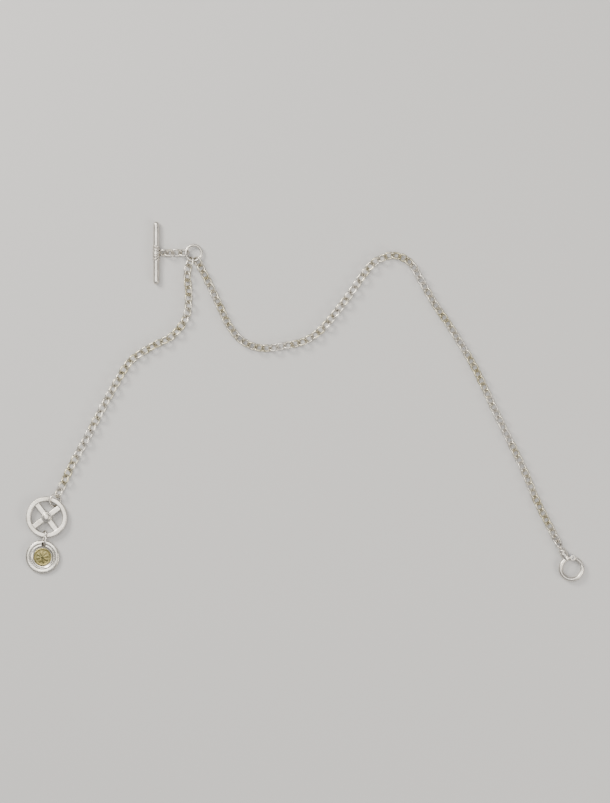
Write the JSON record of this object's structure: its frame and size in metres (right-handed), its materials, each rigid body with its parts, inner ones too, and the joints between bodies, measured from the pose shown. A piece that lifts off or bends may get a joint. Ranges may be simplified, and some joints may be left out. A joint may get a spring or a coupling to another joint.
{
  "type": "pocket watch chain",
  "caption": "Double pocket watch chain of oval trace links with a swivel clasp, a T-bar drop, a wheel charm and a round medal, lying in its worn drape.",
  "frame": {"origin": "on the surface the chain lies on, at the middle of its outline", "axes": "+X to the watch end, +Y up the wearer, +Z away from the wearer"},
  "size_m": [0.2229, 0.1436, 0.0038],
  "materials": {
    "chain_silver": "soft-polished silver with a warm tarnish in the hollows",
    "silver": "polished silver",
    "wheel_silver": "worn silver casting",
    "medal_silver": "bright worn silver rim",
    "old_gilt": "mottled olive gilt",
    "pin_steel": "steel pin",
    "spring_steel": "blued spring steel"
  },
  "bodies": {
    "junction_ring": {"junction_ring": "silver"},
    "watch_chain_01": {"watch_chain_01": "chain_silver"},
    "watch_chain_02": {"watch_chain_02": "chain_silver"},
    "watch_chain_03": {"watch_chain_03": "chain_silver"},
    "watch_chain_04": {"watch_chain_04": "chain_silver"},
    "watch_chain_05": {"watch_chain_05": "chain_silver"},
    "watch_chain_06": {"watch_chain_06": "chain_silver"},
    "watch_chain_07": {"watch_chain_07": "chain_silver"},
    "watch_chain_08": {"watch_chain_08": "chain_silver"},
    "watch_chain_09": {"watch_chain_09": "chain_silver"},
    "watch_chain_10": {"watch_chain_10": "chain_silver"},
    "watch_chain_11": {"watch_chain_11": "chain_silver"},
    "watch_chain_12": {"watch_chain_12": "chain_silver"},
    "watch_chain_13": {"watch_chain_13": "chain_silver"},
    "watch_chain_14": {"watch_chain_14": "chain_silver"},
    "watch_chain_15": {"watch_chain_15": "chain_silver"},
    "watch_chain_16": {"watch_chain_16": "chain_silver"},
    "watch_chain_17": {"watch_chain_17": "chain_silver"},
    "watch_chain_18": {"watch_chain_18": "chain_silver"},
    "watch_chain_19": {"watch_chain_19": "chain_silver"},
    "watch_chain_20": {"watch_chain_20": "chain_silver"},
    "watch_chain_21": {"watch_chain_21": "chain_silver"},
    "watch_chain_22": {"watch_chain_22": "chain_silver"},
    "watch_chain_23": {"watch_chain_23": "chain_silver"},
    "watch_chain_24": {"watch_chain_24": "chain_silver"},
    "watch_chain_25": {"watch_chain_25": "chain_silver"},
    "watch_chain_26": {"watch_chain_26": "chain_silver"},
    "watch_chain_27": {"watch_chain_27": "chain_silver"},
    "watch_chain_28": {"watch_chain_28": "chain_silver"},
    "clasp_ring": {"clasp_ring": "silver"},
    "clasp_swivel_eye": {"clasp_swivel_eye": "silver"},
    "clasp_body": {"clasp_body": "silver", "clasp_gate_pin": "pin_steel", "clasp_gate_spring": "spring_steel"},
    "clasp_gate": {"clasp_gate": "silver"},
    "fob_chain_01": {"fob_chain_01": "chain_silver"},
    "fob_chain_02": {"fob_chain_02": "chain_silver"},
    "fob_chain_03": {"fob_chain_03": "chain_silver"},
    "fob_chain_04": {"fob_chain_04": "chain_silver"},
    "fob_chain_05": {"fob_chain_05": "chain_silver"},
    "fob_chain_06": {"fob_chain_06": "chain_silver"},
    "fob_chain_07": {"fob_chain_07": "chain_silver"},
    "fob_chain_08": {"fob_chain_08": "chain_silver"},
    "fob_chain_09": {"fob_chain_09": "chain_silver"},
    "fob_chain_10": {"fob_chain_10": "chain_silver"},
    "fob_chain_11": {"fob_chain_11": "chain_silver"},
    "fob_chain_12": {"fob_chain_12": "chain_silver"},
    "fob_chain_13": {"fob_chain_13": "chain_silver"},
    "fob_ring": {"fob_ring": "silver"},
    "wheel_charm": {"wheel_charm": "wheel_silver"},
    "medal_ring": {"medal_ring": "silver"},
    "medal": {"medal_body": "medal_silver", "medal_inlay": "old_gilt"},
    "t_bar_drop": {"t_bar_drop": "silver"},
    "t_bar": {"t_bar": "silver"}
  },
  "joints": [
    {"name": "gate_hinge", "type": "hinge", "parent": "clasp_body", "child": "clasp_gate", "pos_m": [0.10685, -0.06235, 0.00152], "axis": [0, 0, -1], "range_deg": [0, 35], "stiffness_Nm_per_rad": 0.0002, "springref_deg": -17.19, "deforming": ["clasp_gate_spring"]},
    {"name": "clasp_swivel", "type": "hinge", "parent": "clasp_swivel_eye", "child": "clasp_body", "pos_m": [0.10116, -0.05659, 0.00152], "axis": [0.4596, -0.8881, 0], "continuous": true},
    {"name": "swivel_eye_swing", "type": "hinge", "parent": "clasp_ring", "child": "clasp_swivel_eye", "pos_m": [0.1007, -0.0557, 0.00152], "axis": [0, 0, 1], "range_deg": [-35, 35]},
    {"name": "clasp_ring_swing", "type": "hinge", "parent": "watch_chain_28", "child": "clasp_ring", "pos_m": [0.09965, -0.05367, 0.00152], "axis": [0, 0, -1], "range_deg": [-35, 35]},
    {"name": "t_bar_fold", "type": "hinge", "parent": "t_bar_drop", "child": "t_bar", "pos_m": [-0.05561, 0.0593, 0.00152], "axis": [0, 0, 1], "range_deg": [-38, 25]},
    {"name": "t_bar_drop_swing", "type": "hinge", "parent": "junction_ring", "child": "t_bar_drop", "pos_m": [-0.0444, 0.0593, 0.00152], "axis": [0, 0, 1], "range_deg": [-50, 15]},
    {"name": "fob_ring_swing", "type": "hinge", "parent": "fob_chain_13", "child": "fob_ring", "pos_m": [-0.09882, -0.03757, 0.00152], "axis": [0, 0, 1], "range_deg": [-12, 35]},
    {"name": "wheel_swing", "type": "hinge", "parent": "fob_ring", "child": "wheel_charm", "pos_m": [-0.09981, -0.03959, 0.0019], "axis": [0, 0, -1], "range_deg": [-15, 5]},
    {"name": "medal_ring_lift", "type": "hinge", "parent": "wheel_charm", "child": "medal_ring", "pos_m": [-0.10378, -0.0533, 0.0019], "axis": [0.9945, -0.1045, 0], "range_deg": [-60, 0]},
    {"name": "medal_swing", "type": "hinge", "parent": "medal_ring", "child": "medal", "pos_m": [-0.10418, -0.05709, 0.0016], "axis": [0, 0, 1], "range_deg": [-30, 30]},
    {"name": "watch_side_swing", "type": "hinge", "parent": "junction_ring", "child": "watch_chain_01", "pos_m": [-0.0444, 0.0593, 0.00152], "axis": [0, 0, 1], "range_deg": [-10, 60]},
    {"name": "fob_side_swing", "type": "hinge", "parent": "junction_ring", "child": "fob_chain_01", "pos_m": [-0.0444, 0.0593, 0.00152], "axis": [0, 0, 1], "range_deg": [-15, 10]},
    {"name": "watch_flex_03", "type": "hinge", "parent": "watch_chain_03", "child": "watch_chain_04", "pos_m": [-0.03185, 0.03342, 0.00152], "axis": [0, 0, -1], "range_deg": [-27.2, 32.8]},
    {"name": "watch_flex_06", "type": "hinge", "parent": "watch_chain_06", "child": "watch_chain_07", "pos_m": [-0.01094, 0.02177, 0.00152], "axis": [0, 0, 1], "range_deg": [-32.3, 27.7]},
    {"name": "watch_flex_09", "type": "hinge", "parent": "watch_chain_09", "child": "watch_chain_10", "pos_m": [0.0112, 0.03404, 0.00152], "axis": [0, 0, -1], "range_deg": [-29.4, 30.6]},
    {"name": "watch_flex_12", "type": "hinge", "parent": "watch_chain_12", "child": "watch_chain_13", "pos_m": [0.0271, 0.0549, 0.00152], "axis": [0, 0, 1], "range_deg": [-16.9, 43.1]},
    {"name": "watch_flex_15", "type": "hinge", "parent": "watch_chain_15", "child": "watch_chain_16", "pos_m": [0.04708, 0.04712, 0.00152], "axis": [0, 0, -1], "range_deg": [-30.9, 29.1]},
    {"name": "watch_flex_18", "type": "hinge", "parent": "watch_chain_18", "child": "watch_chain_19", "pos_m": [0.06107, 0.02489, 0.00152], "axis": [0, 0, 1], "range_deg": [-29.7, 30.3]},
    {"name": "watch_flex_21", "type": "hinge", "parent": "watch_chain_21", "child": "watch_chain_22", "pos_m": [0.0734, 0.00172, 0.00152], "axis": [0, 0, -1], "range_deg": [-30, 30]},
    {"name": "watch_flex_24", "type": "hinge", "parent": "watch_chain_24", "child": "watch_chain_25", "pos_m": [0.08483, -0.02195, 0.00152], "axis": [0, 0, 1], "range_deg": [-29.6, 30.4]},
    {"name": "watch_flex_27", "type": "hinge", "parent": "watch_chain_27", "child": "watch_chain_28", "pos_m": [0.09564, -0.04589, 0.00152], "axis": [0, 0, -1], "range_deg": [-29.8, 30.2]},
    {"name": "fob_flex_03", "type": "hinge", "parent": "fob_chain_03", "child": "fob_chain_04", "pos_m": [-0.04866, 0.03141, 0.00152], "axis": [0, 0, -1], "range_deg": [-39.1, 20.9]},
    {"name": "fob_flex_06", "type": "hinge", "parent": "fob_chain_06", "child": "fob_chain_07", "pos_m": [-0.06952, 0.0161, 0.00152], "axis": [0, 0, 1], "range_deg": [-39.6, 20.4]},
    {"name": "fob_flex_09", "type": "hinge", "parent": "fob_chain_09", "child": "fob_chain_10", "pos_m": [-0.08286, -0.00646, 0.00152], "axis": [0, 0, -1], "range_deg": [-29.6, 30.4]},
    {"name": "fob_flex_12", "type": "hinge", "parent": "fob_chain_12", "child": "fob_chain_13", "pos_m": [-0.09508, -0.02972, 0.00152], "axis": [0, 0, 1], "range_deg": [-30.5, 29.5]},
    {"name": "watch_flex_01", "type": "hinge", "parent": "watch_chain_01", "child": "watch_chain_02", "pos_m": [-0.03936, 0.04924, 0.00152], "axis": [0, 0, -1], "range_deg": [-30.2, 29.8]},
    {"name": "watch_flex_02", "type": "hinge", "parent": "watch_chain_02", "child": "watch_chain_03", "pos_m": [-0.03554, 0.04136, 0.00152], "axis": [0, 0, 1], "range_deg": [-29.8, 30.2]},
    {"name": "watch_flex_04", "type": "hinge", "parent": "watch_chain_04", "child": "watch_chain_05", "pos_m": [-0.02702, 0.02617, 0.00152], "axis": [0, 0, 1], "range_deg": [-38.2, 21.8]},
    {"name": "watch_flex_05", "type": "hinge", "parent": "watch_chain_05", "child": "watch_chain_06", "pos_m": [-0.01961, 0.02182, 0.00152], "axis": [0, 0, -1], "range_deg": [-20.2, 39.8]},
    {"name": "watch_flex_07", "type": "hinge", "parent": "watch_chain_07", "child": "watch_chain_08", "pos_m": [-0.00236, 0.02348, 0.00152], "axis": [0, 0, -1], "range_deg": [-22.7, 37.3]},
    {"name": "watch_flex_08", "type": "hinge", "parent": "watch_chain_08", "child": "watch_chain_09", "pos_m": [0.00524, 0.02765, 0.00152], "axis": [0, 0, 1], "range_deg": [-35.4, 24.6]},
    {"name": "watch_flex_10", "type": "hinge", "parent": "watch_chain_10", "child": "watch_chain_11", "pos_m": [0.01654, 0.04098, 0.00152], "axis": [0, 0, 1], "range_deg": [-30.6, 29.4]},
    {"name": "watch_flex_11", "type": "hinge", "parent": "watch_chain_11", "child": "watch_chain_12", "pos_m": [0.02157, 0.04816, 0.00152], "axis": [0, 0, -1], "range_deg": [-32.6, 27.4]},
    {"name": "watch_flex_13", "type": "hinge", "parent": "watch_chain_13", "child": "watch_chain_14", "pos_m": [0.03499, 0.05816, 0.00152], "axis": [0, 0, -1], "range_deg": [-45, 11]},
    {"name": "watch_flex_14", "type": "hinge", "parent": "watch_chain_14", "child": "watch_chain_15", "pos_m": [0.04257, 0.05461, 0.00152], "axis": [0, 0, 1], "range_deg": [-14.5, 45]},
    {"name": "watch_flex_16", "type": "hinge", "parent": "watch_chain_16", "child": "watch_chain_17", "pos_m": [0.05147, 0.03954, 0.00152], "axis": [0, 0, 1], "range_deg": [-32.1, 27.9]},
    {"name": "watch_flex_17", "type": "hinge", "parent": "watch_chain_17", "child": "watch_chain_18", "pos_m": [0.05633, 0.03226, 0.00152], "axis": [0, 0, -1], "range_deg": [-30.9, 29.1]},
    {"name": "watch_flex_19", "type": "hinge", "parent": "watch_chain_19", "child": "watch_chain_20", "pos_m": [0.06561, 0.0174, 0.00152], "axis": [0, 0, -1], "range_deg": [-31.2, 28.8]},
    {"name": "watch_flex_20", "type": "hinge", "parent": "watch_chain_20", "child": "watch_chain_21", "pos_m": [0.06969, 0.00965, 0.00152], "axis": [0, 0, 1], "range_deg": [-29.2, 30.8]},
    {"name": "watch_flex_22", "type": "hinge", "parent": "watch_chain_22", "child": "watch_chain_23", "pos_m": [0.07711, -0.00622, 0.00152], "axis": [0, 0, 1], "range_deg": [-30.5, 29.5]},
    {"name": "watch_flex_23", "type": "hinge", "parent": "watch_chain_23", "child": "watch_chain_24", "pos_m": [0.08097, -0.01409, 0.00152], "axis": [0, 0, -1], "range_deg": [-30, 30]},
    {"name": "watch_flex_25", "type": "hinge", "parent": "watch_chain_25", "child": "watch_chain_26", "pos_m": [0.0885, -0.0299, 0.00152], "axis": [0, 0, -1], "range_deg": [-31.6, 28.4]},
    {"name": "watch_flex_26", "type": "hinge", "parent": "watch_chain_26", "child": "watch_chain_27", "pos_m": [0.09181, -0.03801, 0.00152], "axis": [0, 0, 1], "range_deg": [-32.2, 27.8]},
    {"name": "fob_flex_01", "type": "hinge", "parent": "fob_chain_01", "child": "fob_chain_02", "pos_m": [-0.04683, 0.04849, 0.00152], "axis": [0, 0, -1], "range_deg": [-25.2, 34.8]},
    {"name": "fob_flex_02", "type": "hinge", "parent": "fob_chain_02", "child": "fob_chain_03", "pos_m": [-0.04647, 0.03975, 0.00152], "axis": [0, 0, 1], "range_deg": [-27, 33]},
    {"name": "fob_flex_04", "type": "hinge", "parent": "fob_chain_04", "child": "fob_chain_05", "pos_m": [-0.05465, 0.02518, 0.00152], "axis": [0, 0, 1], "range_deg": [-19.3, 40.7]},
    {"name": "fob_flex_05", "type": "hinge", "parent": "fob_chain_05", "child": "fob_chain_06", "pos_m": [-0.06242, 0.02118, 0.00152], "axis": [0, 0, -1], "range_deg": [-28.7, 31.3]},
    {"name": "fob_flex_07", "type": "hinge", "parent": "fob_chain_07", "child": "fob_chain_08", "pos_m": [-0.07443, 0.0089, 0.00152], "axis": [0, 0, -1], "range_deg": [-30, 30]},
    {"name": "fob_flex_08", "type": "hinge", "parent": "fob_chain_08", "child": "fob_chain_09", "pos_m": [-0.07873, 0.00127, 0.00152], "axis": [0, 0, 1], "range_deg": [-30.6, 29.4]},
    {"name": "fob_flex_10", "type": "hinge", "parent": "fob_chain_10", "child": "fob_chain_11", "pos_m": [-0.08692, -0.01422, 0.00152], "axis": [0, 0, 1], "range_deg": [-29.2, 30.8]},
    {"name": "fob_flex_11", "type": "hinge", "parent": "fob_chain_11", "child": "fob_chain_12", "pos_m": [-0.09114, -0.0219, 0.00152], "axis": [0, 0, -1], "range_deg": [-29.3, 30.7]}
  ]
}
